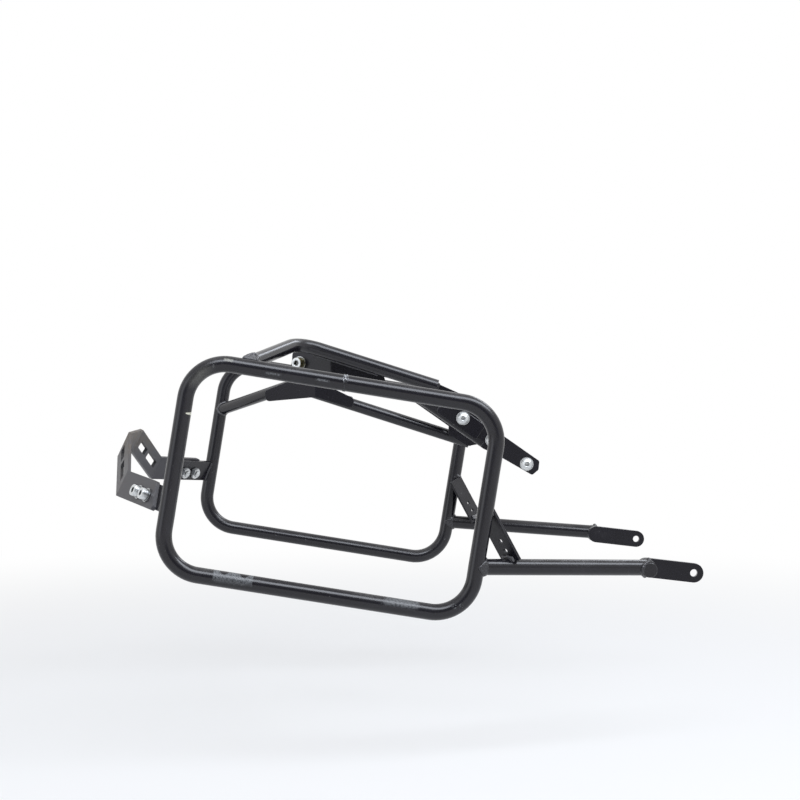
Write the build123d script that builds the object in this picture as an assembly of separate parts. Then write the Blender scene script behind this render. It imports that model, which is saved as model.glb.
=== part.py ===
from build123d import *
from math import atan2, cos, degrees, hypot, radians, sin, tan
import os

# Motorbike pannier frame: two tubular carrier loops, their arms, struts and plates,
# and one folded crossbar behind the wheel.
# Millimetres. +X forward, +Y to the rider's left, +Z up, as fitted on the machine.
# Sizes are laid out from the centre of the two loops on the machine's centre plane;
# at the end every piece moves so that the origin is the middle of the overall box.

# Tube and sheet stock
LOOP_OD = 18.0
LOOP_WALL = 2.0
ARM_OD = 16.0
ARM_WALL = 2.0
SHEET = 4.0
SHEET_BEND = 6.0
WELD_GAP = 0.1
VENT_D = 6.0
EDGE_BREAK = 0.8
SHEET_CORNER_R = 5.0
SMALL_CORNER_R = 3.0

# Carrier loops: corner-to-corner lengths on the tube's centre line
LOOP_LONG = 342.0
LOOP_SHORT = 232.0
LOOP_BEND = 43.0
LOOP_PITCH = 9.2
LOOP_Y = 260.0

# Screws: M8 throughout, threads drawn at their pitch diameter
SCREW_D = 8.0
THREAD_D = 7.19
CLEAR_D = 8.6
CAP_HEAD_D = 13.0
CAP_HEAD_H = 8.0
BUTTON_HEAD_D = 14.0
BUTTON_HEAD_H = 4.4
HEX_KEY = 6.0
BUTTON_KEY = 5.0
KEY_DEPTH = 4.0
BUTTON_KEY_DEPTH = 2.6
WASHER_D = 16.0
WASHER_T = 1.6
WASHER_BORE = 8.4
NUT_AF = 13.0
NUT_H = 6.8
NUT_BORE = 7.4
MOUNT_STUD = 20.0
SCREW_PAST_NUT = 2.5

# Mounting plates stand on each side of the rear subframe
PLATE_MID_Y = 121.0
ARM_Y = PLATE_MID_Y + SHEET / 2 + ARM_OD / 2 + WELD_GAP

# Upper arms: foot on the loop, knee in side view, tip along and above the line of front screws
ARM_BEND = 36.0
RIGHT_ARM_FOOT_A = -108.0
RIGHT_ARM_FOOT_RISE = 5.0
RIGHT_ARM_KNEE = (-38.3, 160.9)
RIGHT_ARM_TIP = (-139.6, 14.0)
RIGHT_ARM_PLUG = 14.0
RIGHT_ARM_SHAVE = 35.0
LEFT_ARM_FOOT_B = 46.0
LEFT_ARM_KNEE = (-55.7, 108.8)
LEFT_ARM_TIP = (-48.1, -16.0)

# Arm plates: rear tab folded inboard, one screw each
# Tab corners are given from the screw, the other corners from the arm's knee
ARM_PLATE_FOLD = 30.0
RIGHT_FOLD_X = 0.0
LEFT_FOLD_X = -25.0
ARM_SCREW_X = -36.7
ARM_SCREW_Z = 137.3
RIGHT_TAB_TOP = [(-10.5, 13.7), (13.5, 16.7)]
RIGHT_TAB_FOOT = [(-2.5, -18.3), (-11.5, -11.3)]
RIGHT_ALONG_ARM = [(98.3, -33.9), (102.3, -48.9), (78.3, -54.9)]
LEFT_TAB_TOP = [(-16.5, 14.7), (19.5, 16.7)]
LEFT_BEHIND_TAB = [(-32.3, -20.8), (-34.3, -6.8), (-4.3, 5.2)]
LEFT_ALONG_ARM = [(41.7, 2.2), (82.7, -17.8), (80.7, -30.8), (30.7, -15.8)]

# Front plates: a line of three screws falling forward along the subframe rail
RAIL_FALL = 35.0
FRONT_SCREW = (229.5, 18.2)
SECOND_SCREW_BACK = 49.8
SECOND_SCREW_DOWN = 0.4
THIRD_SCREW_BACK = 92.9
THIRD_SCREW_UP = 1.1
FRONT_PLATE_LOW = -14.5
FRONT_PLATE_HIGH = 15.5
FRONT_PLATE_REAR = -154.0
FRONT_NOSE_LOW = [(-34, -11.2), (13, -7.0)]
FRONT_NOSE_HIGH = [(15.5, 2.5), (10.5, 11.6), (-44, 11.6)]
NOSE_NECK = -52.0
LIP_DEPTH = 13.0
RIGHT_LIP_END = -56.0
LEFT_LIP_END = -88.0
RIGHT_EAR = [(-152, 0), (-152, 11), (-138, 18), (-112, 23), (-94, 12), (-94, 0)]
LEFT_EAR = [(-84, 0), (-84, -14), (-78, -24), (-48, -22), (-38, -12), (-38, 0)]
DOUBLER_T = 3.0
DOUBLER = [(-123, -11), (-123, 4), (-114, 9), (-66, 9), (-66, -11)]

# Lower struts, their cross bosses and the plates for the footrest bolts
STRUT_FOOT_B = -59.6
STRUT_OVER_BOSS = 1.5
STRUT_OD = 18.0
STRUT_WALL = 2.0
BOSS_X = 360.0
BOSS_Z = -97.0
BOSS_MID_Y = 198.0
BOSS_D = 17.0
BOSS_LONG = 25.0
STRUT_PLATE_T = 5.0
STRUT_PLATE_W = 22.0
FOOT_BOLT_X = 415.0
FOOT_BOLT_Z = -103.5

# Perforated braces between strut and loop
BRACE_W = 28.0
BRACE_T = 3.0
BRACE_TURN = 50.0
BRACE_B = -39.2
BRACE_AHEAD = 29.0
BRACE_IN = 12.5
BRACE_LEAN = 28.1
BRACE_UP = 46.0
BRACE_DOWN = 18.5
BRACE_HOLE_D = 5.5
BRACE_HOLES = [8.0, -4.0]

# Rear crossbar: one folded strap, leaning forward at the top
BAR_LEAN = 25.0
BAR_WIDTH = 32.0
BAR_BEND = 9.0
BAR_FOOT_B = -38.4
BAR_FOOT_BACK = 10.6
BAR_FOOT_IN = 9.0
BAR_KNEE = (-240.0, -150.0, -2.0)
BAR_TOP = (-252.2, -54.0, 38.4)
BAR_END_CUT = 13.0
BAR_END_SKEW = 11.0
BAR_CORNER_R = 4.0
BAR_SCREWS = [31.0, 55.0]
BAR_SCREW_DROP = 2.5
BAR_SLOT_W = 9.5
BAR_SLOT_R = 1.5
BAR_SLOTS = [(25.5, 30.0), (69.0, 40.0)]
TAB_IN = 14.0
TAB_OUT = 70.0
TAB_WIDTH = 28.0

PITCH = radians(LOOP_PITCH)
RIGHT = -1
span = LOOP_LONG + LOOP_Y


def on_loop(a, b, side=RIGHT):
    """A point on a loop's plane: a along its long sides, b along its short sides."""
    x = a * cos(PITCH) + b * sin(PITCH)
    z = b * cos(PITCH) - a * sin(PITCH)
    return Vector(x, side * LOOP_Y, z)


def shifted(base, corners):
    """Corners given from a base point."""
    return [(base[0] + x, base[1] + z) for x, z in corners]


def mirrored(part):
    """The same piece on the other side of the machine."""
    return mirror(part, about=Plane.XZ)


def rod(path, diameter):
    """A round bar along a path."""
    start = Plane(origin=path @ 0, z_dir=path % 0)
    return sweep(start * Circle(diameter / 2), path=path)


def tube(path, od, wall):
    """A round tube along a path."""
    return rod(path, od) - rod(path, od - 2 * wall)


def folded(frame, line, outline_frame, outline, reach):
    """Sheet that follows a folded line in one plane, cut to an outline seen in another."""
    wall = extrude(frame * trace(line, SHEET), amount=reach, both=True)
    window = extrude(outline_frame * outline, amount=reach, both=True)
    return wall & window


def rounded(points, radius):
    """A flat outline with all its corners rounded."""
    flat = make_face(Polyline(*points, close=True))
    return fillet(flat.vertices(), radius)


# Carrier loops
def loop_path(side):
    frame = Plane(origin=(0, side * LOOP_Y, 0), x_dir=(cos(PITCH), 0, -sin(PITCH)), z_dir=(0, -1, 0))
    return (frame * RectangleRounded(LOOP_LONG, LOOP_SHORT, LOOP_BEND)).wire()


def loop_bar(side, extra=0.0):
    return rod(loop_path(side), LOOP_OD + 2 * extra)


def make_loop(side, vents):
    loop = tube(loop_path(side), LOOP_OD, LOOP_WALL)
    for start, towards in vents:
        way = (towards - start).normalized()
        loop -= rod(Line(start, start + way * LOOP_OD), VENT_D)
    return loop


# Lower struts
strut_foot = on_loop(LOOP_LONG / 2, STRUT_FOOT_B)
boss_centre = Vector(BOSS_X, -BOSS_MID_Y, BOSS_Z)
strut_head = boss_centre + Vector(0, 0, STRUT_OVER_BOSS)
strut_line = Line(strut_foot, strut_head)
boss_line = Line(boss_centre - Vector(0, BOSS_LONG / 2, 0), boss_centre + Vector(0, BOSS_LONG / 2, 0))
loop_cut = loop_bar(RIGHT, WELD_GAP)
strut = tube(strut_line, STRUT_OD, STRUT_WALL) - loop_cut - rod(boss_line, BOSS_D + 2 * WELD_GAP)
boss = chamfer(rod(boss_line, BOSS_D).edges().filter_by(GeomType.CIRCLE), EDGE_BREAK)

strut_plate_y = -BOSS_MID_Y + BOSS_LONG / 2 + WELD_GAP
strut_plate_frame = Plane(origin=(0, strut_plate_y, 0), x_dir=(1, 0, 0), z_dir=(0, -1, 0))
plate_run = hypot(FOOT_BOLT_X - BOSS_X, FOOT_BOLT_Z - BOSS_Z)
plate_fall = degrees(atan2(FOOT_BOLT_Z - BOSS_Z, FOOT_BOLT_X - BOSS_X))
plate_mid = Pos((BOSS_X + FOOT_BOLT_X) / 2, (BOSS_Z + FOOT_BOLT_Z) / 2)
strut_plate_flat = plate_mid * Rot(0, 0, plate_fall) * SlotCenterToCenter(plate_run, STRUT_PLATE_W)
strut_plate_flat -= Pos(FOOT_BOLT_X, FOOT_BOLT_Z) * Circle(CLEAR_D / 2)
strut_plate = extrude(strut_plate_frame * strut_plate_flat, amount=-STRUT_PLATE_T)

# Perforated braces: flat bar turned about its own length, coped on the loop and the strut
brace_down = Vector(sin(radians(BRACE_LEAN)), 0, -cos(radians(BRACE_LEAN)))
brace_across = Vector(cos(radians(BRACE_TURN)), -sin(radians(BRACE_TURN)), 0)
brace_across = (brace_across - brace_down * brace_across.dot(brace_down)).normalized()
brace_frame = Plane(
    origin=on_loop(LOOP_LONG / 2, BRACE_B) + Vector(BRACE_AHEAD, BRACE_IN, 0),
    x_dir=brace_across,
    z_dir=brace_across.cross(brace_down * -1),
)
brace_flat = Pos(0, (BRACE_UP - BRACE_DOWN) / 2) * Rectangle(BRACE_W, BRACE_UP + BRACE_DOWN)
for step in BRACE_HOLES:
    brace_flat -= Pos(0, step) * Circle(BRACE_HOLE_D / 2)
brace = extrude(brace_frame * brace_flat, amount=BRACE_T / 2, both=True)
brace = brace - loop_cut - rod(strut_line, STRUT_OD + 2 * WELD_GAP)
brace = brace.solids().sort_by(SortBy.VOLUME)[-1]

# Line of the front screws: it falls forward along the subframe rail
rail_dir = Vector(cos(radians(RAIL_FALL)), 0, -sin(radians(RAIL_FALL)))


def rail_frame(side, y):
    """Side view along the screw line: first axis forward, second upward and forward."""
    return Plane(origin=(FRONT_SCREW[0], side * y, FRONT_SCREW[1]), x_dir=rail_dir, z_dir=(0, -1, 0))


# Upper arms
right_arm_foot = on_loop(RIGHT_ARM_FOOT_A, LOOP_SHORT / 2) + Vector(0, 0, RIGHT_ARM_FOOT_RISE)
left_arm_foot = on_loop(-LOOP_LONG / 2, LEFT_ARM_FOOT_B, -RIGHT)
right_arm_line = FilletPolyline(
    right_arm_foot,
    (RIGHT_ARM_KNEE[0], -ARM_Y, RIGHT_ARM_KNEE[1]),
    rail_frame(RIGHT, ARM_Y).from_local_coords((RIGHT_ARM_TIP[0], RIGHT_ARM_TIP[1], 0)),
    radius=ARM_BEND,
)
left_arm_line = FilletPolyline(
    left_arm_foot,
    (LEFT_ARM_KNEE[0], ARM_Y, LEFT_ARM_KNEE[1]),
    rail_frame(-RIGHT, ARM_Y).from_local_coords((LEFT_ARM_TIP[0], LEFT_ARM_TIP[1], 0)),
    radius=ARM_BEND,
)
# The right arm's foot stands partly above the loop, so its end is plugged round a vent
plug_way = right_arm_line % 0
plug = rod(Line(right_arm_foot, right_arm_foot + plug_way * RIGHT_ARM_PLUG), ARM_OD)
plug_vent = rod(Line(right_arm_foot, right_arm_foot + plug_way * 2 * RIGHT_ARM_PLUG), VENT_D)
right_arm_bore = rod(right_arm_line, ARM_OD - 2 * ARM_WALL) - plug
right_arm = rod(right_arm_line, ARM_OD) - right_arm_bore - plug_vent - loop_cut
# Its outer end is shaved off on a slope that rises inboard from the loop's crest
crest_up = Vector(sin(PITCH), 0, cos(PITCH))
crest = on_loop(RIGHT_ARM_FOOT_A, LOOP_SHORT / 2) + crest_up * (LOOP_OD / 2)
shave = radians(RIGHT_ARM_SHAVE)
shave_out = crest_up * cos(shave) + Vector(0, RIGHT, 0) * sin(shave)
shave_frame = Plane(origin=crest, x_dir=(cos(PITCH), 0, -sin(PITCH)), z_dir=shave_out)
right_arm -= shave_frame * Pos(0, 0, ARM_OD) * Box(4 * ARM_OD, 4 * ARM_OD, 2 * ARM_OD)
left_arm = tube(left_arm_line, ARM_OD, ARM_WALL) - loop_bar(-RIGHT, WELD_GAP)

right_loop = make_loop(RIGHT, [(strut_foot, strut_head), (right_arm_foot, right_arm_line @ 0.2)])
left_strut_foot = on_loop(LOOP_LONG / 2, STRUT_FOOT_B, -RIGHT)
left_strut_head = Vector(strut_head.X, -strut_head.Y, strut_head.Z)
left_loop = make_loop(-RIGHT, [(left_strut_foot, left_strut_head), (left_arm_foot, left_arm_line @ 0.2)])


# Arm plates: the fold's line is drawn in plan, the outline in side view
side_view = Plane(origin=(0, 0, 0), x_dir=(1, 0, 0), z_dir=(0, -1, 0))
fold_slope = tan(radians(ARM_PLATE_FOLD))


def make_arm_plate(side, fold_x, outline):
    fore = (fold_x + span, side * PLATE_MID_Y)
    knee = (fold_x, side * PLATE_MID_Y)
    aft = (fold_x - PLATE_MID_Y, side * PLATE_MID_Y * (1 - fold_slope))
    line = FilletPolyline(fore, knee, aft, radius=SHEET_BEND)
    plate = folded(Plane.XY, line, side_view, rounded(outline, SHEET_CORNER_R), span)
    return plate.solids().sort_by(SortBy.VOLUME)[-1]


def arm_screw_seat(side, fold_x):
    """The plane of the tab's outer face at its screw, facing outboard and rearward."""
    reach = fold_x - ARM_SCREW_X
    out = Vector(-sin(radians(ARM_PLATE_FOLD)), side * cos(radians(ARM_PLATE_FOLD)), 0)
    middle = Vector(ARM_SCREW_X, side * (PLATE_MID_Y - reach * fold_slope), ARM_SCREW_Z)
    return Plane(origin=middle + out * (SHEET / 2), x_dir=(0, 0, 1), z_dir=out)


right_arm_seat = arm_screw_seat(RIGHT, RIGHT_FOLD_X)
left_arm_seat = arm_screw_seat(-RIGHT, LEFT_FOLD_X)
arm_screw = (ARM_SCREW_X, ARM_SCREW_Z)
right_outline = shifted(arm_screw, RIGHT_TAB_TOP) + shifted(RIGHT_ARM_KNEE, RIGHT_ALONG_ARM)
right_outline += shifted(arm_screw, RIGHT_TAB_FOOT)
left_outline = shifted(LEFT_ARM_KNEE, LEFT_BEHIND_TAB) + shifted(arm_screw, LEFT_TAB_TOP)
left_outline += shifted(LEFT_ARM_KNEE, LEFT_ALONG_ARM)
right_arm_plate = make_arm_plate(RIGHT, RIGHT_FOLD_X, right_outline)
left_arm_plate = make_arm_plate(-RIGHT, LEFT_FOLD_X, left_outline)
right_arm_plate -= right_arm_seat * Cylinder(CLEAR_D / 2, 4 * SHEET)
left_arm_plate -= left_arm_seat * Cylinder(CLEAR_D / 2, 4 * SHEET)


# Places of the front screws along the rail, the first one at the front
front_places = [
    Pos(0, 0),
    Pos(-SECOND_SCREW_BACK, -SECOND_SCREW_DOWN),
    Pos(-THIRD_SCREW_BACK, THIRD_SCREW_UP),
]


# Front plates: flat side with a narrow nose, ears for the arm tips, lip folded inboard along the lower edge
def make_front_plate(side, ear, lip_end):
    low = FRONT_PLATE_LOW
    high = FRONT_PLATE_HIGH
    nose = [(NOSE_NECK, low)] + FRONT_NOSE_LOW + FRONT_NOSE_HIGH + [(NOSE_NECK, high)]
    flat = rounded([(FRONT_PLATE_REAR, low)] + nose + [(FRONT_PLATE_REAR, high)], SMALL_CORNER_R)
    flat += rounded(ear, SMALL_CORNER_R)
    section = Plane(origin=(FRONT_SCREW[0], 0, FRONT_SCREW[1]), x_dir=(0, 1, 0), z_dir=rail_dir)
    lip_in = side * (PLATE_MID_Y - LIP_DEPTH)
    lip_mid = low + SHEET / 2
    plain = extrude(rail_frame(side, PLATE_MID_Y) * flat, amount=SHEET / 2, both=True)
    wall_y = side * PLATE_MID_Y
    bend = FilletPolyline((wall_y, span), (wall_y, lip_mid), (lip_in, lip_mid), radius=SHEET_BEND)
    angle = section * trace(bend, SHEET)
    strip = extrude(angle, amount=FRONT_PLATE_REAR) - extrude(angle, amount=lip_end)
    lip_long = lip_end - FRONT_PLATE_REAR
    lip_zone = Pos(FRONT_PLATE_REAR + lip_long / 2, low) * Rectangle(lip_long, 2 * SHEET + 2 * SHEET_BEND)
    corner = extrude(rail_frame(side, PLATE_MID_Y) * lip_zone, amount=2 * LIP_DEPTH, both=True)
    plate = (plain - corner) + (strip & corner)
    for place in front_places:
        plate -= rail_frame(side, PLATE_MID_Y) * place * Cylinder(CLEAR_D / 2, 4 * SHEET)
    return plate


right_front_plate = make_front_plate(RIGHT, RIGHT_EAR, RIGHT_LIP_END)
left_front_plate = make_front_plate(-RIGHT, LEFT_EAR, LEFT_LIP_END)

doubler_flat = rounded(DOUBLER, SMALL_CORNER_R)
doubler_flat -= front_places[2] * Circle(CLEAR_D / 2)
doubler_y = PLATE_MID_Y + SHEET / 2
right_doubler = extrude(rail_frame(RIGHT, doubler_y) * doubler_flat, amount=DOUBLER_T)
left_doubler = mirrored(right_doubler)

# Rear crossbar: strap frame looks along the strap's width, edge frame looks at its face
lean = radians(BAR_LEAN)
bar_up = Vector(sin(lean), 0, cos(lean))
bar_back = Vector(-cos(lean), 0, sin(lean))
strap_frame = Plane(origin=(0, 0, 0), x_dir=(0, 1, 0), z_dir=bar_up)
edge_frame = Plane(origin=(0, 0, 0), x_dir=(0, 1, 0), z_dir=bar_back * -1)


def strap_point(point):
    where = Vector(*point)
    return (where.Y, where.dot(bar_back))


def strap_height(point):
    return Vector(*point).dot(bar_up)


bar_foot = on_loop(-LOOP_LONG / 2, BAR_FOOT_B) + Vector(-BAR_FOOT_BACK, BAR_FOOT_IN, 0)
bar_a = strap_point(bar_foot)
bar_b = strap_point(BAR_KNEE)
bar_c = strap_point(BAR_TOP)
height_a = strap_height(bar_foot)
height_b = strap_height(BAR_KNEE)
height_c = strap_height(BAR_TOP)
wing_run = hypot(bar_b[0] - bar_a[0], bar_b[1] - bar_a[1])
wing_dir = ((bar_b[0] - bar_a[0]) / wing_run, (bar_b[1] - bar_a[1]) / wing_run)
wing_out = (-wing_dir[1], wing_dir[0])


def wing_y(along):
    return bar_a[0] + wing_dir[0] * along


def wing_height(along):
    return height_a + (height_b - height_a) * along / wing_run


bar_line = FilletPolyline(
    bar_a,
    bar_b,
    bar_c,
    (-bar_c[0], bar_c[1]),
    (-bar_b[0], bar_b[1]),
    (-bar_a[0], bar_a[1]),
    radius=BAR_BEND,
)
half = BAR_WIDTH / 2
low_end = BAR_END_CUT - BAR_END_SKEW
high_end = BAR_END_CUT + BAR_END_SKEW
end_low = (wing_y(low_end), wing_height(low_end) - half)
end_high = (wing_y(high_end), wing_height(high_end) + half)
bar_outline = make_face(
    Polyline(
        end_low,
        (bar_b[0], height_b - half),
        (bar_c[0], height_c - half),
        (-bar_c[0], height_c - half),
        (-bar_b[0], height_b - half),
        (-end_low[0], end_low[1]),
        (-end_high[0], end_high[1]),
        (-bar_b[0], height_b + half),
        (-bar_c[0], height_c + half),
        (bar_c[0], height_c + half),
        (bar_b[0], height_b + half),
        end_high,
        close=True,
    )
)
across_bar = bar_outline.vertices().sort_by(Axis.X)
bar_outline = fillet(across_bar[:2] + across_bar[-2:], BAR_CORNER_R)
strip_run = hypot(bar_c[0] - bar_b[0], height_c - height_b)
slot_fall = degrees(atan2(height_c - height_b, bar_c[0] - bar_b[0]))
for from_top, slot_long in BAR_SLOTS:
    slot_y = bar_c[0] + (bar_b[0] - bar_c[0]) * from_top / strip_run
    slot_h = height_c + (height_b - height_c) * from_top / strip_run
    slot = RectangleRounded(slot_long, BAR_SLOT_W, BAR_SLOT_R)
    bar_outline -= Pos(slot_y, slot_h) * Rot(0, 0, slot_fall) * slot
    bar_outline -= Pos(-slot_y, slot_h) * Rot(0, 0, -slot_fall) * slot
crossbar = folded(strap_frame, bar_line, edge_frame, bar_outline, span)


def bar_seat(along):
    """The plane of the right wing's outer face at a screw, facing outboard and rearward."""
    out = Vector(0, wing_out[0], 0) + bar_back * wing_out[1]
    flat = (wing_y(along), bar_a[1] + wing_dir[1] * along)
    middle = Vector(0, flat[0], 0) + bar_back * flat[1] + bar_up * (wing_height(along) - BAR_SCREW_DROP)
    return Plane(origin=middle + out * (SHEET / 2), x_dir=bar_up, z_dir=out)


bar_seats = [bar_seat(along) for along in BAR_SCREWS]

# Rear tabs: flat plates welded to the loops, against the inner face of the crossbar's ends
tab_shift = SHEET + WELD_GAP
tab_base = (bar_a[0] - wing_out[0] * tab_shift, bar_a[1] - wing_out[1] * tab_shift)
tab_a = (tab_base[0] - wing_dir[0] * TAB_IN, tab_base[1] - wing_dir[1] * TAB_IN)
tab_b = (tab_base[0] + wing_dir[0] * TAB_OUT, tab_base[1] + wing_dir[1] * TAB_OUT)
tab_half = TAB_WIDTH / 2
tab_outline = make_face(
    Polyline(
        (wing_y(-2 * TAB_IN), wing_height(-2 * TAB_IN) - tab_half),
        (wing_y(TAB_OUT), wing_height(TAB_OUT) - tab_half),
        (wing_y(TAB_OUT), wing_height(TAB_OUT) + tab_half),
        (wing_y(-2 * TAB_IN), wing_height(-2 * TAB_IN) + tab_half),
        close=True,
    )
)
tab_end = wing_y(TAB_OUT)
tab_corners = tab_outline.vertices().filter_by_position(Axis.X, tab_end - WELD_GAP, tab_end + WELD_GAP)
tab_outline = fillet(tab_corners, BAR_CORNER_R)
right_tab = folded(strap_frame, Line(tab_a, tab_b), edge_frame, tab_outline, span) - loop_cut
for seat in bar_seats:
    right_tab -= seat * Cylinder(CLEAR_D / 2, 8 * SHEET)
    crossbar -= seat * Cylinder(CLEAR_D / 2, 8 * SHEET)
    crossbar -= mirrored(seat * Cylinder(CLEAR_D / 2, 8 * SHEET))
right_tab = right_tab.solids().sort_by(SortBy.VOLUME)[-1]
left_tab = mirrored(right_tab)


# Fasteners, each drawn on its seat with the head outward
def hexagon(across_flats):
    return RegularPolygon(across_flats / 2, 6, major_radius=False)


def screw_shank(grip, thread):
    """A plain grip under the head, then the threaded end at its pitch diameter."""
    plain = Pos(0, 0, WASHER_T - grip / 2) * Cylinder(SCREW_D / 2, grip)
    end = Pos(0, 0, WASHER_T - grip - thread / 2) * Cylinder(THREAD_D / 2, thread)
    end = chamfer(end.edges().filter_by(GeomType.CIRCLE).sort_by(Axis.Z)[0], EDGE_BREAK)
    return plain + end


def cap_screw(grip, thread):
    head = Pos(0, 0, WASHER_T + CAP_HEAD_H / 2) * Cylinder(CAP_HEAD_D / 2, CAP_HEAD_H)
    head = chamfer(head.edges().filter_by(GeomType.CIRCLE).sort_by(Axis.Z)[-1], EDGE_BREAK)
    head -= Pos(0, 0, WASHER_T + CAP_HEAD_H) * extrude(hexagon(HEX_KEY), amount=-KEY_DEPTH)
    return head + screw_shank(grip, thread)


def button_screw(grip, thread):
    cap_r = BUTTON_HEAD_D / 2
    ball_r = (cap_r**2 + BUTTON_HEAD_H**2) / (2 * BUTTON_HEAD_H)
    ball = Pos(0, 0, WASHER_T + BUTTON_HEAD_H - ball_r) * Sphere(ball_r)
    head = ball & Pos(0, 0, WASHER_T + BUTTON_HEAD_H) * Cylinder(BUTTON_HEAD_D, 2 * BUTTON_HEAD_H)
    head -= Pos(0, 0, WASHER_T + BUTTON_HEAD_H) * extrude(hexagon(BUTTON_KEY), amount=-BUTTON_KEY_DEPTH)
    return head + screw_shank(grip, thread)


def washer():
    ring = Cylinder(WASHER_D / 2, WASHER_T) - Cylinder(WASHER_BORE / 2, WASHER_T)
    return Pos(0, 0, WASHER_T / 2) * ring


def nut():
    corner_r = NUT_AF / 2 / cos(radians(30))
    turned = Pos(0, 0, -NUT_H / 2) * Cylinder(corner_r, NUT_H)
    turned = chamfer(turned.edges().filter_by(GeomType.CIRCLE), EDGE_BREAK)
    body = (extrude(hexagon(NUT_AF), amount=-NUT_H) & turned) - Cylinder(NUT_BORE / 2, 4 * NUT_H)
    return Pos(0, 0, -2 * SHEET - WELD_GAP) * body


def group(parts):
    return Compound(children=[part.solids()[0] for part in parts])


bar_grip = WASHER_T + 2 * SHEET + WELD_GAP
bar_screws = [seat * cap_screw(bar_grip, NUT_H + SCREW_PAST_NUT) for seat in bar_seats]
bar_washers = [seat * washer() for seat in bar_seats]
bar_nuts = [seat * nut() for seat in bar_seats]

arm_seats = [right_arm_seat, left_arm_seat]
front_seats = []
front_screws = []
for place, layer in zip(front_places, [0.0, 0.0, DOUBLER_T]):
    seat = rail_frame(RIGHT, PLATE_MID_Y + SHEET / 2 + layer) * place
    front_seats.append(seat)
    front_screws.append(seat * button_screw(WASHER_T + SHEET + layer, MOUNT_STUD))

pieces = {
    "right_loop": right_loop,
    "left_loop": left_loop,
    "right_upper_arm": right_arm,
    "left_upper_arm": left_arm,
    "right_arm_plate": right_arm_plate,
    "left_arm_plate": left_arm_plate,
    "right_front_plate": right_front_plate,
    "left_front_plate": left_front_plate,
    "right_front_doubler": right_doubler,
    "left_front_doubler": left_doubler,
    "right_lower_strut": strut,
    "left_lower_strut": mirrored(strut),
    "right_strut_boss": boss,
    "left_strut_boss": mirrored(boss),
    "right_strut_plate": strut_plate,
    "left_strut_plate": mirrored(strut_plate),
    "right_brace": brace,
    "left_brace": mirrored(brace),
    "right_rear_tab": right_tab,
    "left_rear_tab": left_tab,
    "rear_crossbar": crossbar,
    "crossbar_screws": group(bar_screws + [mirrored(part) for part in bar_screws]),
    "crossbar_washers": group(bar_washers + [mirrored(part) for part in bar_washers]),
    "crossbar_nuts": group(bar_nuts + [mirrored(part) for part in bar_nuts]),
    "arm_screws": group([seat * cap_screw(WASHER_T + SHEET, MOUNT_STUD) for seat in arm_seats]),
    "arm_washers": group([seat * washer() for seat in arm_seats]),
    "right_front_screws": group(front_screws),
    "left_front_screws": group([mirrored(part) for part in front_screws]),
    "right_front_washers": group([seat * washer() for seat in front_seats]),
    "left_front_washers": group([mirrored(seat * washer()) for seat in front_seats]),
}

# The middle of the overall box becomes the origin
whole = Compound(children=[Compound(part.solids()) for part in pieces.values()])
middle = whole.bounding_box().center()
os.makedirs("parts", exist_ok=True)
for name, part in pieces.items():
    export_step(Pos(-middle.X, -middle.Y, -middle.Z) * Compound(part.solids()), f"parts/{name}.step")
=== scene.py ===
from math import atan2, cos, pi, radians, sin, sqrt

import bmesh
import bpy
from mathutils import Matrix, Vector


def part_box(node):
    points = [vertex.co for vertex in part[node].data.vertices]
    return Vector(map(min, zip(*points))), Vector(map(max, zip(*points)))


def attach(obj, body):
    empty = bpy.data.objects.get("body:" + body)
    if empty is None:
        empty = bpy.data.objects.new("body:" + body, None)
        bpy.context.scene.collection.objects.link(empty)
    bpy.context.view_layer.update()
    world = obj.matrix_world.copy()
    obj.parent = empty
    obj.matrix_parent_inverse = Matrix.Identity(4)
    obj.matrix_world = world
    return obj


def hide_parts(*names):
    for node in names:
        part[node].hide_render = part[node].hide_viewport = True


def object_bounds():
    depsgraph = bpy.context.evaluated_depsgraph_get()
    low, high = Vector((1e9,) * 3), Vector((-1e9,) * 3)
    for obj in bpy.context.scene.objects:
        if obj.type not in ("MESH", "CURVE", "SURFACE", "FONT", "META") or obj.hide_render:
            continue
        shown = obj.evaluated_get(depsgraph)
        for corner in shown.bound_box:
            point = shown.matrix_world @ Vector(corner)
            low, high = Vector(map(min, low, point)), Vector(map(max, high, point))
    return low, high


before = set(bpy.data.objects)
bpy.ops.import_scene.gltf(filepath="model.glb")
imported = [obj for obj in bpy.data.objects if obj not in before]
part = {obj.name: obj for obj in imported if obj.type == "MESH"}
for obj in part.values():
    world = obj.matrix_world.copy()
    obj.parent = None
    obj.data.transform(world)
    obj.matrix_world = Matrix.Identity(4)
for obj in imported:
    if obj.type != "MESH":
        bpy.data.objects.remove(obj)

cad_low, cad_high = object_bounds()

# Carrier loops: 18 mm steel tube, bent to a rounded rectangle and closed by a butt weld in
# its top side. The frame is coated in satin black powder after welding. Pannier hooks have
# rubbed the right loop's lower tube grey in two places.
loop_low, loop_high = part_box("right_loop")
hub = Vector(((loop_low.x + loop_high.x) / 2, 0, (loop_low.z + loop_high.z) / 2))
tilt = radians(9.2)
along = Vector((cos(tilt), 0, -sin(tilt)))
across = Vector((sin(tilt), 0, cos(tilt)))
half_long, half_short, loop_y = 0.171, 0.116, 0.260
tube_r, bend_r = 0.009, 0.043
joint_a = -0.0028


def on_loop(a, b, side):
    """A place on a loop's plane: a along its long sides, b up its short sides."""
    return hub + along * a + across * b + Vector((0, side * loop_y, 0))


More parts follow.
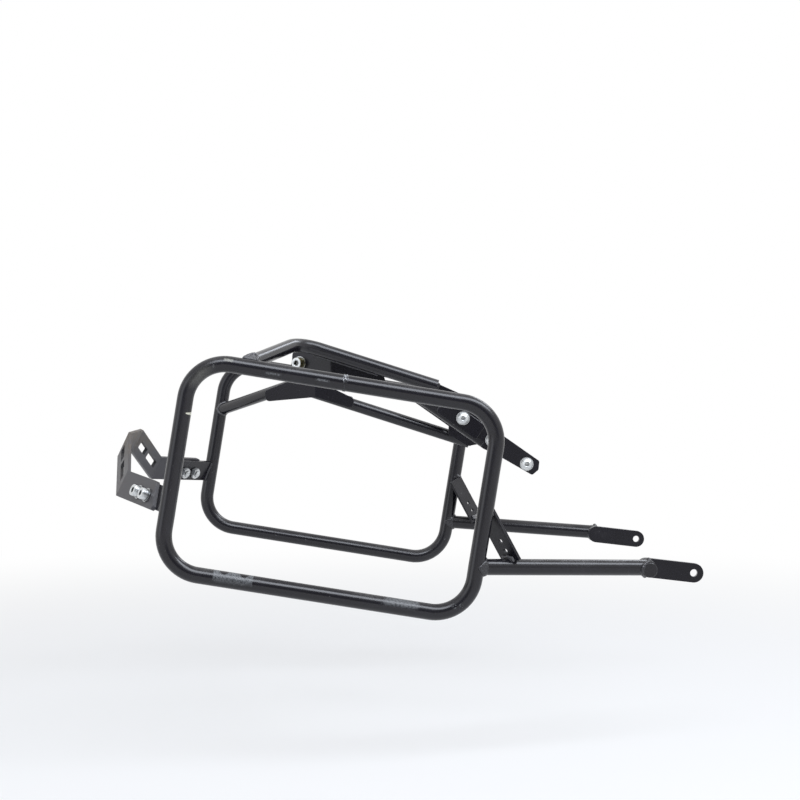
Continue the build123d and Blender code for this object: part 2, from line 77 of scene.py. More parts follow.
class Shade:
    """One output of a finish's nodes. Sums written with shades add Math nodes."""

    def __init__(self, tree, socket=None):
        self.tree = tree
        self.socket = socket

    def node(self, kind, settings, sockets, out=0):
        made = self.tree.nodes.new("ShaderNode" + kind)
        for name, value in settings.items():
            setattr(made, name, value)
        for name, value in sockets.items():
            if isinstance(value, Shade):
                self.tree.links.new(value.socket, made.inputs[name])
            else:
                made.inputs[name].default_value = value
        return Shade(self.tree, made.outputs[out] if made.outputs else None)

    def sum(self, operation, *values):
        return self.node("Math", {"operation": operation}, dict(enumerate(values)))

    def __add__(self, other):
        return self.sum("ADD", self, other)

    __radd__ = __add__

    def __sub__(self, other):
        return self.sum("SUBTRACT", self, other)

    def __rsub__(self, other):
        return self.sum("SUBTRACT", other, self)

    def __mul__(self, other):
        return self.sum("MULTIPLY", self, other)

    __rmul__ = __mul__

    def __abs__(self):
        return self.sum("ABSOLUTE", self)

    def most(self, other):
        return self.sum("MAXIMUM", self, other)

    def rise(self, low, high):
        """0 below low, 1 above high, smooth between them."""
        ends = {"Value": self, "From Min": low, "From Max": high}
        return self.node("MapRange", {"interpolation_type": "SMOOTHSTEP"}, ends)

    def blend(self, first, second):
        """first where this is 0, second where it is 1."""
        return self.node("Mix", {"data_type": "RGBA"}, {0: self, 6: first, 7: second}, 2)

    def noise(self, scale, detail=3.0, roughness=0.55):
        sockets = {"Vector": self, "Scale": scale, "Detail": detail, "Roughness": roughness}
        return self.node("TexNoise", {}, sockets)

    def reach(self, start, way):
        """How far a place lies from a start along a direction."""
        from_start = self.node("VectorMath", {"operation": "SUBTRACT"}, {0: self, 1: start})
        return self.node("VectorMath", {"operation": "DOT_PRODUCT"}, {0: from_start, 1: way}, "Value")


def new_finish(name):
    """An empty finish, and a shade to start its nodes from."""
    finish = bpy.data.materials.new(name)
    finish.use_nodes = True
    finish.node_tree.nodes.clear()
    return finish, Shade(finish.node_tree)


def close_finish(shade, sockets):
    """The surface that ends a finish, with its sockets filled."""
    surface = shade.node("BsdfPrincipled", {}, sockets)
    shade.node("OutputMaterial", {}, {"Surface": surface})


def powder_coat(name, tone, dusty, dirt, rough, marks=None, shine=0.5):
    """Powder coat with a faint orange peel, road dust, small nicks, and thin sheet edges painted paler:
    partly worn paint, partly a painted highlight.
    """
    finish, shade = new_finish(name)
    place = shade.node("TexCoord", {}, {}, "Object")
    facing = shade.node("NewGeometry", {}, {}, "Normal")
    eased = shade.node("Bevel", {"samples": 8}, {"Radius": 0.0008})
    turned = facing.node("VectorMath", {"operation": "DOT_PRODUCT"}, {0: facing, 1: eased}, "Value")
    edge = turned.rise(0.99, 0.86)
    upward = facing.node("SeparateXYZ", {}, {0: facing}, "Z")
    cloud = place.noise(22.0, 5.0, 0.62)
    speck = place.noise(420.0, 4.0, 0.7)
    peel = place.noise(900.0, 2.0, 0.5)
    settled = upward.rise(0.15, 0.9) * cloud.rise(0.40, 0.72) * speck.rise(0.30, 0.62)
    smear = cloud.rise(0.56, 0.74) * speck.rise(0.38, 0.66)
    film = (settled * 0.30 + smear * 0.10) * dirt
    nick = place.noise(170.0, 2.0, 0.6).rise(0.735, 0.75)
    deep, pale = [t * 0.86 for t in tone] + [1], [t * 1.16 for t in tone] + [1]
    bare_and_edge_highlight = (0.19, 0.19, 0.19, 1)
    colour = cloud.rise(0.3, 0.7).blend(deep, pale)
    colour = film.blend(colour, dusty + [1])
    # Nicks show bare grey metal. Thin sheet edges get the same pale grey, partly as worn paint and
    # partly as a painted highlight.
    colour = (nick * 0.28).most(edge * cloud.rise(0.25, 0.6) * 0.5).blend(colour, bare_and_edge_highlight)
    gloss = rough + 0.10 * (cloud - 0.5) + 0.25 * film + 0.04 * (speck - 0.5)
    height = peel + 0.25 * speck
    for worn, shown in marks(place) if marks else []:
        colour = worn.blend(colour, shown + [1])
        gloss = gloss + 0.16 * worn
        height = height + 1.6 * speck * worn
    ripple = {"Strength": 0.30, "Distance": 0.00004, "Height": height, "Normal": eased}
    bump = height.node("Bump", {}, ripple)
    sockets = {"Base Color": colour, "Roughness": gloss, "Specular IOR Level": shine, "Normal": bump}
    close_finish(shade, sockets)
    return finish


def loop_marks(place):
    """Grey rubs of two hooks on the lower tube, dust and scratches on the top one, and a chip."""
    a = place.reach(hub, along)
    b = place.reach(hub, across)
    ragged = place.noise(95.0, 3.0, 0.6) - 0.5
    fine = place.noise(480.0, 3.0, 0.65)
    rear_hook, hook_notches, notch_narrow = -0.089, (-0.0994, -0.0773), 180.0
    front_hook, weld_a, weld_b = 0.096, joint_a + 0.0001, half_short + 0.0005
    chip_a, chip_b, chip_tip = -0.1636, 0.0565, -0.1622

    def patch(middle_a, middle_b, fade_a, fade_b):
        """1 about a place on the loop, fading between two distances from it each way."""
        return abs(a - middle_a).rise(*fade_a) * abs(b - middle_b).rise(*fade_b)

    up = b + half_short
    rear = abs(a - rear_hook + 0.004 * ragged).rise(0.0225, 0.0212)
    for notch in hook_notches:
        off = (a - notch) * notch_narrow
        rear = rear * (up - 0.0031 * off * off).rise(0.0066, 0.0056)
    front = abs(a - front_hook + 0.016 * ragged).rise(0.0205, 0.0150)
    front = front * up.rise(-0.001, 0.003) * 0.8
    fade = (up + 0.005 * ragged).rise(-0.0040, 0.0010) * up.rise(0.030, 0.024)
    hooks = rear.most(front) * fade * (0.45 + 0.55 * up.rise(-0.002, 0.007))
    hooks = hooks * (0.35 + 0.65 * fine.rise(0.38, 0.58))
    dust = patch(-0.081, 0.1133, (0.010, 0.005), (0.0016, 0.0006))
    dust = dust.most(patch(-0.027, 0.1151, (0.009, 0.004), (0.0018, 0.0006)))
    cake = patch(-0.1307, 0.1204, (0.0060, 0.0038), (0.0020, 0.0009))
    from_bend, over_bend = a + half_long - bend_r, b - half_short + bend_r
    bend_off = from_bend * from_bend + over_bend * over_bend
    inner = bend_off.rise((bend_r + 0.005) ** 2, (bend_r - 0.001) ** 2)
    film = inner * from_bend.rise(-0.012, -0.030) * over_bend.rise(0.008, 0.022) * (0.5 + ragged)
    seam = abs(a - weld_a).rise(0.0034, 0.0022) * (b - weld_b + 0.010 * ragged).rise(0.0, 0.003)
    seam = seam * place.noise(700.0, 2.0, 0.6).rise(0.52, 0.60)
    chip = abs(a - chip_a).rise(0.0040, 0.0030)
    chip = chip * (abs(b - chip_b) + 0.18 * abs(a - chip_tip)).rise(0.0019, 0.0012)
    scuff = patch(0.156, -0.104, (0.009, 0.004), (0.0050, 0.0020))
    scuff = scuff * place.noise(600.0, 2.0, 0.6).rise(0.58, 0.66) * 0.8
    rubbed = hooks.most(dust * fine.rise(0.28, 0.66) * 0.9).most(scuff)
    dusty = (film * 0.45).most(cake * (0.4 + 0.6 * fine.rise(0.30, 0.60)))
    return [
        (rubbed, [0.155, 0.16, 0.165]),
        (dusty, [0.24, 0.235, 0.205]),
        (seam, [0.52, 0.53, 0.54]),
        (chip, [0.66, 0.64, 0.52]),
    ]


black = [0.0048, 0.0043, 0.0078]
road_dust = [0.17, 0.165, 0.155]
tube_rough = 0.21
tube_coat = powder_coat("tube_coat", black, road_dust, 1.0, tube_rough)
right_loop_coat = powder_coat("right_loop_coat", black, road_dust, 1.0, tube_rough, loop_marks)
weld_grey, weld_dust = [0.030, 0.029, 0.033], [0.34, 0.33, 0.31]
weld_coat = powder_coat("weld_coat", weld_grey, weld_dust, 2.6, 0.28)
part["right_loop"].material_slots[0].material = right_loop_coat
part["left_loop"].material_slots[0].material = tube_coat


def add_piece(name, form, finish):
    """A new piece from a finished bmesh, riding on the frame."""
    bmesh.ops.recalc_face_normals(form, faces=form.faces)
    mesh = bpy.data.meshes.new(name)
    form.to_mesh(mesh)
    form.free()
    for face in mesh.polygons:
        face.use_smooth = True
    mesh.materials.append(finish)
    piece = bpy.data.objects.new(name, mesh)
    bpy.context.scene.collection.objects.link(piece)
    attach(piece, "root")
    return piece


def grow_ring(form, ring):
    """The next ring at a tube's open end, made in place: its corners and its edges."""
    grown = bmesh.ops.extrude_edge_only(form, edges=ring)["geom"]
    verts = [item for item in grown if isinstance(item, bmesh.types.BMVert)]
    edges = [item for item in grown if isinstance(item, bmesh.types.BMEdge)]
    return verts, [edge for edge in edges if all(vert in verts for vert in edge.verts)]


def lay_bead(form, line, size, closed, upright):
    """A weld bead along a line of places, one ring a step, swelling at every third step."""
    steps = len(line)
    sides = 10
    ripple, blunt = (1.0, 0.93, 0.84), 0.45
    start = bmesh.ops.create_circle(form, cap_ends=False, radius=1.0, segments=sides)["verts"]
    first = list(dict.fromkeys(edge for vert in start for edge in vert.link_edges))
    ring, verts, last = first, start, Matrix.Identity(4)
    for step, spot in enumerate(line):
        before = line[step - 1] if closed or step else spot
        after = line[(step + 1) % steps] if closed or step < steps - 1 else spot
        way = (after - before).normalized()
        side = way.cross(upright).normalized()
        unsteady = 1 + 0.05 * sin(step * 1.7) + 0.04 * sin(step * 0.61)
        swell = size * ripple[step % 3] * unsteady
        if not closed and step in (0, steps - 1):
            swell *= blunt
        turn = Matrix((side, way.cross(side), way)).transposed().to_4x4()
        seat = Matrix.Translation(spot) @ turn @ Matrix.Diagonal((swell, swell, swell, 1))
        if step:
            verts, ring = grow_ring(form, ring)
        bmesh.ops.transform(form, matrix=seat @ last.inverted(), verts=verts)
        last = seat
    if closed:
        bmesh.ops.bridge_loops(form, edges=first + ring)
    else:
        bmesh.ops.edgeloop_fill(form, edges=first)
        bmesh.ops.edgeloop_fill(form, edges=ring)


def round_line(centre, axis, radius, steps):
    """Places on a circle round an axis."""
    first = axis.orthogonal().normalized() * radius
    return [centre + Matrix.Rotation(2 * pi * step / steps, 3, axis) @ first for step in range(steps)]


bead_steps, bead_pitch, joint_sunk = 84, 0.0008, 0.0008
for side, name in ((-1, "right_loop_weld"), (1, "left_loop_weld")):
    form = bmesh.new()
    joint = on_loop(joint_a, half_short, side)
    for shift, size in ((-0.0007, 0.0015), (0.0009, 0.0014)):
        ring = round_line(joint + along * shift, along, tube_r - joint_sunk, bead_steps)
        lay_bead(form, ring, size, True, along)
    add_piece(name, form, right_loop_coat if side < 0 else weld_coat)

# Lower struts: 18 mm tube from each loop's front side to a round boss, which stands on a
# flat plate with one bolt hole. The tube's ends are cut to fit and welded all round.
for name in ("right_lower_strut", "left_lower_strut", "right_strut_boss", "left_strut_boss"):
    part[name].material_slots[0].material = tube_coat
sheet_coat = powder_coat("sheet_coat", black, road_dust, 1.0, 0.27, shine=0.34)
for name in ("right_strut_plate", "left_strut_plate"):
    part[name].material_slots[0].material = sheet_coat


def meet(edge, way, host, host_way, host_radius):
    """Where a line leaves the outside of a round tube, or passes nearest to it."""
    flat = edge - host - host_way * (edge - host).dot(host_way)
    run = way - host_way * way.dot(host_way)
    half = flat.dot(run) / run.dot(run)
    root = max(half * half - (flat.dot(flat) - host_radius**2) / run.dot(run), 0.0)
    return edge + way * (sqrt(root) - half)


def joint_line(foot, way, radius, host, host_way, host_radius):
    """Where the outside of a tube meets the outside of the tube that it is welded to."""
    circle = round_line(foot, way, radius, bead_steps)
    return [meet(edge, way, host, host_way, host_radius) for edge in circle]


boss_r, boss_half = 0.0085, 0.0125
boss_ahead, boss_y, boss_drop = 0.360, 0.198, 0.097
strut_foot_b, strut_over_boss = -0.0596, 0.0015


def strut_ends(side):
    """Foot of a strut on its loop, its head, and the middle of its boss."""
    boss = hub + Vector((boss_ahead, side * boss_y, -boss_drop))
    return on_loop(half_long, strut_foot_b, side), boss + Vector((0, 0, strut_over_boss)), boss


foot_weld_long, foot_weld_passes = 0.0096, (0.0, 0.25, 0.5, 0.75, 1.0)
level = Vector((0, 1, 0))
for side, name in ((-1, "right_strut_welds"), (1, "left_strut_welds")):
    form = bmesh.new()
    foot, head, boss = strut_ends(side)
    way = (head - foot).normalized()
    seam = joint_line(foot, way, tube_r, foot, across, tube_r)
    toe = round_line(foot + way * foot_weld_long, way, tube_r - 0.0002, bead_steps)
    for share in foot_weld_passes:
        spots = [start.lerp(end, share) for start, end in zip(seam, toe)]
        lay_bead(form, spots, 0.0020 - 0.0005 * share, True, way)
    lay_bead(form, joint_line(head, -way, tube_r, boss, level, boss_r), 0.0026, True, way)
    back = boss - level * (side * (boss_half - 0.0006))
    lay_bead(form, round_line(back, level, boss_r + 0.0006, 90), 0.0019, True, level)
    add_piece(name, form, weld_coat)

# Braces: 3 mm flat bar with two holes, from each loop's front side down to its strut. Both
# ends are cut round the tubes and welded along both faces.
brace_lean, brace_turn = radians(28.1), radians(50.0)
brace_b, brace_ahead, brace_in = -0.0392, 0.029, 0.0125
brace_bead_off, foot_pass_up, foot_crest_cut = 0.0022, 0.0026, 0.0008
brace_steps, foot_steps, head_from = range(-12, 17), 22, 20
down = Vector((sin(brace_lean), 0, -cos(brace_lean)))
# A pale weld finish with heavy dust on upward faces: partly dust, and partly a painted reflection of
# the sky on the welds' upper faces.
weld_grey_and_sheen, weld_dust_and_sheen = [0.085, 0.083, 0.087], [0.42, 0.41, 0.39]
dusty_sheen_weld_coat = powder_coat("dusty_sheen_weld_coat", weld_grey_and_sheen, weld_dust_and_sheen, 2.6, 0.22)
for side, name in ((-1, "right_brace"), (1, "left_brace")):
    part[name].material_slots[0].material = sheet_coat
    flat = Vector((cos(brace_turn), side * sin(brace_turn), 0))
    flat = (flat - down * flat.dot(down)).normalized()
    middle = on_loop(half_long, brace_b, side) + Vector((brace_ahead, -side * brace_in, 0))
    foot, head, boss = strut_ends(side)
    strut_way = (head - foot).normalized()
    form = bmesh.new()
    for face in (-brace_bead_off, brace_bead_off):
        start = middle + flat.cross(down) * face
        row = [start + flat * (step * bead_pitch) for step in brace_steps]
        foot_seam = [meet(spot, -down, foot, strut_way, tube_r) for spot in row[:foot_steps]]
        crest = max(spot.z for spot in foot_seam) - foot_crest_cut
        foot_seam = [spot - down * (max(crest - spot.z, 0) / -down.z) for spot in foot_seam]
        head_seam = [meet(spot, down, foot, across, tube_r) for spot in row[head_from:]]
        lay_bead(form, foot_seam, 0.0022, False, down)
        lay_bead(form, [spot - down * foot_pass_up for spot in foot_seam], 0.0020, False, down)
        lay_bead(form, head_seam, 0.0018, False, down)
    add_piece(name + "_welds", form, dusty_sheen_weld_coat)

# Upper arms: 16 mm tube with one bend each, from the loops to the front plates, cut to fit and
# welded all round at the foot. The right arm's foot stands on its loop's top side, shaved on a
# slope and filled with weld. The left one's stands on its loop's rear side.
arm_r, arm_y = 0.008, 0.1311
screw_fall = radians(35.0)
screw_way = Vector((cos(screw_fall), 0, -sin(screw_fall)))
screw_up = Vector((sin(screw_fall), 0, cos(screw_fall)))
screw_ahead, screw_high = 0.2295, 0.0182


def by_screws(ahead, up, y):
    """A place beside the line of front screws: ahead of the first one, and above the line."""
    return hub + Vector((screw_ahead, y, screw_high)) + screw_way * ahead + screw_up * up


right_stand = on_loop(-0.108, half_short, -1)
right_foot = right_stand + Vector((0, 0, 0.005))
right_knee = hub + Vector((-0.0383, -arm_y, 0.1609))
right_tip = by_screws(-0.1396, 0.0140, -arm_y)
left_foot = on_loop(-half_long, 0.046, 1)
left_knee = hub + Vector((-0.0557, arm_y, 0.1088))
left_tip = by_screws(-0.0481, -0.0160, arm_y)
shave = radians(35.0)
fill_rungs, fill_start, fill_pitch = 9, 0.0006, 0.0016
fill_inset, fill_least = 0.0008, 0.003


def run_along(*corners):
    """Places about a bead's pitch apart along straight runs between corners."""
    line = []
    for start, end in zip(corners, corners[1:]):
        count = max(round((end - start).length / bead_pitch), 2)
        line += [start.lerp(end, step / count) for step in range(count)]
    return line + [corners[-1]]


for name, foot, knee, host, host_way in (
    ("right", right_foot, right_knee, on_loop(0, half_short, -1), along),
    ("left", left_foot, left_knee, on_loop(-half_long, 0, 1), across),
):
    part[name + "_upper_arm"].material_slots[0].material = tube_coat
    form = bmesh.new()
    way = (knee - foot).normalized()
    seam = joint_line(foot, way, arm_r, host, host_way, tube_r)
    if name == "right":
        crest = right_stand + across * tube_r
        uphill = level * cos(shave) + across * sin(shave)
        slope = across * cos(shave) - level * sin(shave)
        seam = [spot - way * (max((spot - crest).dot(slope), 0) / way.dot(slope)) for spot in seam]
        for rung in range(fill_rungs):
            middle = crest + uphill * (fill_start + rung * fill_pitch)
            ends = [meet(middle, out, foot, way, arm_r - fill_inset) for out in (-along, along)]
            if (ends[1] - ends[0]).length > fill_least:
                lay_bead(form, run_along(*ends), 0.0012, False, uphill)
    lay_bead(form, seam, 0.0019, True, way)
    add_piece(name + "_arm_weld", form, dusty_sheen_weld_coat)

# Arm plates: 4 mm sheet on the inner side of each arm, with a rear tab that is folded inboard
# and takes one screw. The right plate is welded under its arm, the left one over it.
plate_face, plate_thick = 0.123, 0.004


def beside_arm(knee, tip, from_knee, up, out):
    """A place by an arm's straight front run: past its knee, above it, and off its plate's face."""
    way = (tip - knee).normalized()
    spot = knee + way * from_knee + Vector((-way.z, 0, way.x)) * up
    spot.y = (plate_face + out) * (1 if knee.y > 0 else -1)
    return spot


for name, knee, tip, up, ends in (
    ("right_arm_plate", right_knee, right_tip, -arm_r, (0.020, 0.100)),
    ("left_arm_plate", left_knee, left_tip, arm_r, (0.020, 0.082)),
):
    part[name].material_slots[0].material = sheet_coat
    form = bmesh.new()
    seam = [beside_arm(knee, tip, end, up, 0.0014) for end in ends]
    lay_bead(form, run_along(*seam), 0.0020, False, level)
    add_piece(name + "_weld", form, weld_coat)

# Front plates: 4 mm sheet with a narrow nose, a folded lower lip and an ear that carries the
# arm's tip. Three screws hold each one, and a thin doubler is welded under the rear screw.
doubler_rim = [(-0.1230, -0.0090), (-0.1230, 0.0040), (-0.1140, 0.0090), (-0.0660, 0.0090)]
for side, name, knee, tip in ((-1, "right", right_knee, right_tip), (1, "left", left_knee, left_tip)):
    part[name + "_front_plate"].material_slots[0].material = sheet_coat
    part[name + "_front_doubler"].material_slots[0].material = sheet_coat
    reach = (tip - knee).length
    edge_up = arm_r * side
    form = bmesh.new()
    beside = [beside_arm(knee, tip, reach + past, edge_up, 0.0014) for past in (-0.024, 0.0008)]
    ends_up = (edge_up * 0.8, -edge_up * 0.6)
    over_tip = [beside_arm(knee, tip, reach + 0.0012, up, 0.0020) for up in ends_up]
    lay_bead(form, run_along(*beside, *over_tip), 0.0021, False, level)
    rim = [by_screws(ahead, up, side * (plate_face + 0.0006)) for ahead, up in doubler_rim]
    lay_bead(form, run_along(*rim), 0.0011, False, level)
    add_piece(name + "_front_welds", form, weld_coat)

# Rear tabs: 4 mm sheet, cut to fit against each loop's rear side and welded along both faces.
# Two screws through each tab hold an end of the crossbar.
bar_lean = radians(25.0)
bar_up = Vector((sin(bar_lean), 0, cos(bar_lean)))
tab_b, tab_behind, tab_in = -0.0384, 0.0106, 0.009
tab_steps, tab_faces = range(-16, 17), (0.0017, 0.0065)
bar_corner = (-0.240, 0.150, -0.002)
for side, name in ((-1, "right_rear_tab"), (1, "left_rear_tab")):
    part[name].material_slots[0].material = sheet_coat
    wing_foot = on_loop(-half_long, tab_b, side) + Vector((-tab_behind, -side * tab_in, 0))
    wing_way = hub + Vector((bar_corner[0], side * bar_corner[1], bar_corner[2])) - wing_foot
    wing_way = (wing_way - bar_up * wing_way.dot(bar_up)).normalized()
    inward = bar_up.cross(wing_way) * side
    form = bmesh.new()
    for face in tab_faces:
        start = wing_foot + inward * face
        row = [start + bar_up * (step * bead_pitch) for step in tab_steps]
        loop_rear = on_loop(-half_long, 0, side)
        seam = [meet(spot, wing_way, loop_rear, across, tube_r) for spot in row]
        lay_bead(form, seam, 0.0021, False, wing_way)
    add_piece(name + "_welds", form, weld_coat)

# Rear crossbar: one strap of 4 mm sheet with four folds and four slots, charcoal powder coat,
# made paler and browner up top, partly by road dirt, partly as painted light. Its ends bolt against the
# rear tabs.
strap_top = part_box("rear_crossbar")[1].z


def strap_marks(place):
    """Paler brown towards the strap's upper edge, partly road dirt, partly painted light, and painted
    shade, near black, on the slot walls.
    """
    height = place.node("SeparateXYZ", {}, {0: place}, "Z")
    top_band_deep = 0.040
    # Paler brown towards the upper edge: partly road dirt, partly painted light.
    dirt_and_light_on_top = (height - (strap_top - top_band_deep)).rise(0.0, 0.034)
    dirt_and_light_on_top = dirt_and_light_on_top * place.noise(70.0, 4.0, 0.65).rise(0.30, 0.58)
    # Painted shade: the slot walls, found by occlusion within the strap, go near black.
    local = {"samples": 8, "only_local": True}
    slots = place.node("AmbientOcclusion", local, {"Distance": 0.014}, "AO").rise(0.95, 0.82)
    return [(dirt_and_light_on_top, [0.100, 0.083, 0.066]), (slots, [0.006, 0.006, 0.007])]


charcoal, brown_dust = [0.038, 0.037, 0.044], [0.13, 0.105, 0.085]
strap_coat = powder_coat("strap_coat", charcoal, brown_dust, 3.0, 0.42, strap_marks)
part["rear_crossbar"].material_slots[0].material = strap_coat

# Fasteners: M8 screws with zinc plate on plain washers, cap heads at the crossbar and the
# arms, button heads on the front plates. The crossbar's screws have nuts, the others none.
tab_fold = radians(30.0)


def zinc_plate(name, tone, shade_start, olive_sided=False):
    """Zinc plate with painted shade where it is shut in, and mottled olive-gold sides on the heads at
    the arms.
    """
    finish, shade = new_finish(name)
    place = shade.node("TexCoord", {}, {}, "Object")
    cloud = place.noise(160.0, 4.0, 0.6)
    grain = place.noise(1400.0, 3.0, 0.6)
    open_sky = shade.node("AmbientOcclusion", {"samples": 8}, {"Distance": 0.0045}, "AO")
    colour = cloud.rise(0.3, 0.7).blend([t * 0.82 for t in tone] + [1], tone + [1])
    if olive_sided:
        # Faces of the heads that do not face along the screw's axis are painted a mottled olive-gold.
        facing = shade.node("NewGeometry", {}, {}, "Normal")
        outward = cos(tab_fold) * abs(facing.node("SeparateXYZ", {}, {0: facing}, "Y"))
        outward = outward - sin(tab_fold) * facing.node("SeparateXYZ", {}, {0: facing}, "X")
        mottle = place.noise(900.0, 2.0, 0.6).rise(0.35, 0.65)
        head_side = mottle.blend((0.10, 0.085, 0.04, 1), (0.34, 0.30, 0.15, 1))
        colour = outward.rise(0.80, 0.50).blend(colour, head_side)
    # Painted shade: places shut in by nearby surfaces, such as sockets and thread roots, go dark.
    recess_shade = (0.035, 0.033, 0.030, 1)
    colour = open_sky.rise(shade_start, shade_start - 0.44).blend(colour, recess_shade)
    gloss = 0.24 + 0.18 * cloud + 0.08 * grain
    bump = grain.node("Bump", {}, {"Strength": 0.25, "Distance": 0.00004, "Height": grain + cloud})
    close_finish(shade, {"Base Color": colour, "Metallic": 1.0, "Roughness": gloss, "Normal": bump})
    return finish


zinc = [0.72, 0.74, 0.75]
bright_zinc = zinc_plate("bright_zinc", zinc, 0.86)
button_zinc = zinc_plate("button_zinc", zinc, 0.68)
arm_zinc = zinc_plate("arm_zinc", zinc, 0.86, True)
washers = ("crossbar_washers", "arm_washers", "right_front_washers", "left_front_washers")
for name in washers + ("crossbar_nuts",):
    part[name].material_slots[0].material = bright_zinc
washer_half = 0.0008


def seats_of(node):
    """The outer face of each washer in a node, as a matrix that looks outward along its axis."""
    form = bmesh.new()
    form.from_mesh(part[node].data)
    bmesh.ops.remove_doubles(form, verts=form.verts, dist=1e-6)
    seats, loose = [], set(form.verts)
    for first in form.verts:
        if first not in loose:
            continue
        loose.remove(first)
        ring = [first]
        for vert in ring:
            near = [edge.other_vert(vert) for edge in vert.link_edges]
            near = [other for other in near if other in loose]
            loose.difference_update(near)
            ring += near
        middle = sum((vert.co for vert in ring), Vector()) / len(ring)
        faces = [face for vert in ring for face in vert.link_faces]
        out = max(faces, key=lambda face: face.calc_area()).normal.copy()
        out *= 1 if out.y * middle.y > 0 else -1
        turn = out.to_track_quat("Z", "Y").to_matrix().to_4x4()
        seats.append(Matrix.Translation(middle + out * washer_half) @ turn)
    form.free()
    return seats


def hexagon(across_flats):
    """A socket's radius at any angle."""
    return lambda angle: across_flats / 2 / cos(angle % (pi / 3) - pi / 6)


thread_pitch, thread_step, thread_root, thread_deep = 0.00125, 0.00025, 0.00335, 0.00062
screw_r = 0.0040


def thread(height):
    """A thread's radius at any angle, at one height."""
    lead = height / thread_pitch
    return lambda angle: thread_root + thread_deep * abs((lead - angle / (2 * pi)) % 1 * 2 - 1)


def turn_screw(form, seat, grip, free, head):
    """A screw from its free end up: chamfered thread, plain grip, then the head's own steps."""
    end = -grip - free
    steps = [(0.0030, end), (0.0034, end + 0.0004)]
    heights = [end + 0.0006 + ring * thread_step for ring in range(int(free / thread_step) - 2)]
    steps += [(thread(height), height) for height in heights]
    steps += [(screw_r, -grip), (screw_r, 0.0)] + head
    verts = bmesh.ops.create_circle(form, cap_ends=True, radius=steps[0][0], segments=36)["verts"]
    bmesh.ops.translate(form, verts=verts, vec=(0, 0, end))
    ring = list(dict.fromkeys(edge for vert in verts for edge in vert.link_edges))
    made = list(verts)
    for radius, height in steps[1:]:
        verts, ring = grow_ring(form, ring)
        for vert in verts:
            angle = atan2(vert.co.y, vert.co.x)
            wide = radius(angle) if callable(radius) else radius
            vert.co = (wide * cos(angle), wide * sin(angle), height)
        made += verts
    bmesh.ops.edgeloop_fill(form, edges=ring)
    bmesh.ops.transform(form, matrix=seat, verts=made)


cap_socket, button_socket = hexagon(0.0060), hexagon(0.0050)
cap_head = [(0.0063, 0.0), (0.0065, 0.0002), (0.0065, 0.0073), (0.0063, 0.0078), (0.0059, 0.0080)]
cap_head += [(0.0038, 0.0080), (cap_socket, 0.0076), (cap_socket, 0.0040), (0.0004, 0.0034)]
ball_r, button_high = 0.00777, 0.0044
button_head = [(0.0068, 0.0), (0.0070, 0.0003)]
for up in (0.0010, 0.0017, 0.0024, 0.0030, 0.0035):
    button_head.append((sqrt(ball_r**2 - (up + ball_r - button_high) ** 2), up))
button_head += [(0.0033, 0.0037), (0.0031, 0.0037)]
button_head += [(button_socket, 0.0034), (button_socket, 0.0014), (0.0004, 0.0010)]
for name, grip, free, head, finish in (
    ("crossbar", 0.0097, 0.0093, cap_head, bright_zinc),
    ("arm", 0.0056, 0.0200, cap_head, arm_zinc),
    ("right_front", None, 0.0200, button_head, button_zinc),
    ("left_front", None, 0.0200, button_head, button_zinc),
):
    form = bmesh.new()
    for seat in seats_of(name + "_washers"):
        to_plate_back = abs(seat.translation.y) - (plate_face - plate_thick)
        turn_screw(form, seat, grip or to_plate_back, free, head)
    screws = add_piece(name + "_turned_screws", form, finish)
    screws.data.set_sharp_from_angle(angle=radians(28.0))
    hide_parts(name + "_screws")

# Studio: a pale matt floor in a white room, lit by a long soft box overhead and two weaker ones
# at the left and behind. The camera looks nearly square at the right side.
floor_half, floor_below = 9.0, 0.16
floor_form = bmesh.new()
bmesh.ops.create_grid(floor_form, x_segments=8, y_segments=8, size=floor_half)
bmesh.ops.translate(floor_form, verts=floor_form.verts, vec=(0, 0, cad_low.z - floor_below))
floor_mesh = bpy.data.meshes.new("studio_floor")
floor_form.to_mesh(floor_mesh)
floor_form.free()
floor = bpy.data.objects.new("studio_floor", floor_mesh)
bpy.context.scene.collection.objects.link(floor)


def background_rays(shade, mirrored=1.0):
    """1 for rays that show the background itself: to the camera, through glass or off a mirror."""
    seen = shade.node("LightPath", {}, {}, "Is Camera Ray")
    seen = seen.most(shade.node("LightPath", {}, {}, "Is Transmission Ray"))
    return seen.most(shade.node("LightPath", {}, {}, "Is Glossy Ray") * mirrored)


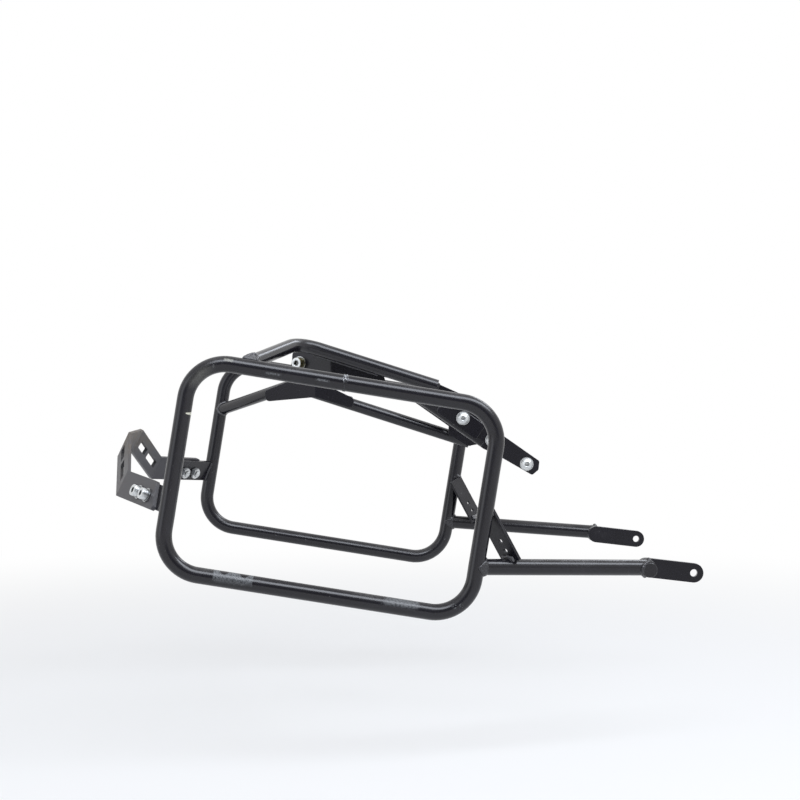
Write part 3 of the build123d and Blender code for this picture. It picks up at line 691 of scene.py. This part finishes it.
floor_finish, shade = new_finish("studio_floor")
place = shade.node("TexCoord", {}, {}, "Object")
far = place.node("VectorMath", {"operation": "LENGTH"}, {0: place}, "Value").rise(0.5, 2.0)
veil = background_rays(shade) * (0.5 + 0.5 * far)
paint = shade.node("BsdfDiffuse", {}, {"Color": (0.86, 0.86, 0.86, 1)})
haze = shade.node("Emission", {}, {"Color": (1, 1, 1, 1), "Strength": 1.0})
shade.node("OutputMaterial", {}, {"Surface": shade.node("MixShader", {}, {0: veil, 1: paint, 2: haze})})
floor_mesh.materials.append(floor_finish)

world = bpy.data.worlds.new("studio")
bpy.context.scene.world = world
world.use_nodes = True
world.node_tree.nodes.clear()
shade = Shade(world.node_tree)
sky = shade.node("TexCoord", {}, {}, "Generated")
room = sky.reach((0, 0, 0), (0, -1, 0)).rise(0.60, 0.92)
fill = shade.node("Background", {}, {"Color": (0.95, 0.97, 1.0, 1), "Strength": 0.30})
white = shade.node("Background", {}, {"Color": (1, 1, 1, 1), "Strength": 1.0})
seen = background_rays(shade, 1.0 - room)
shade.node("OutputWorld", {}, {"Surface": shade.node("MixShader", {}, {0: seen, 1: fill, 2: white})})

for name, spot, size, power in (
    ("top_box", (0.7, -1.45, 2.20), (4.0, 1.2), 96.0),
    ("left_box", (-2.2, -1.5, 0.5), (1.4, 1.8), 6.0),
    ("back_box", (1.6, 1.60, 1.90), (1.6, 0.4), 12.0),
):
    lamp = bpy.data.lights.new(name, "AREA")
    lamp.shape = "RECTANGLE"
    lamp.size, lamp.size_y = size
    lamp.energy = power
    lamp.color = (0.86, 0.91, 1.0)
    box = bpy.data.objects.new(name, lamp)
    box.location = spot
    box.rotation_euler = (-Vector(spot)).to_track_quat("-Z", "Y").to_euler()
    bpy.context.scene.collection.objects.link(box)

sensor_wide, focal_pixels, picture_pixels = 36.0, 1580, 800
lens = bpy.data.cameras.new("camera")
lens.sensor_width = sensor_wide
lens.lens = sensor_wide * focal_pixels / picture_pixels
lens.clip_end = 100.0
camera = bpy.data.objects.new("camera", lens)
camera.location = hub + Vector((0.0213, -1.980, 0.1291))
turn, dip = radians(1.812), radians(1.088)
look = Vector((sin(turn) * cos(dip), cos(turn) * cos(dip), -sin(dip)))
camera.rotation_euler = look.to_track_quat("-Z", "Y").to_euler()
bpy.context.scene.collection.objects.link(camera)
bpy.context.scene.camera = camera
bpy.context.scene.view_settings.view_transform = "Standard"
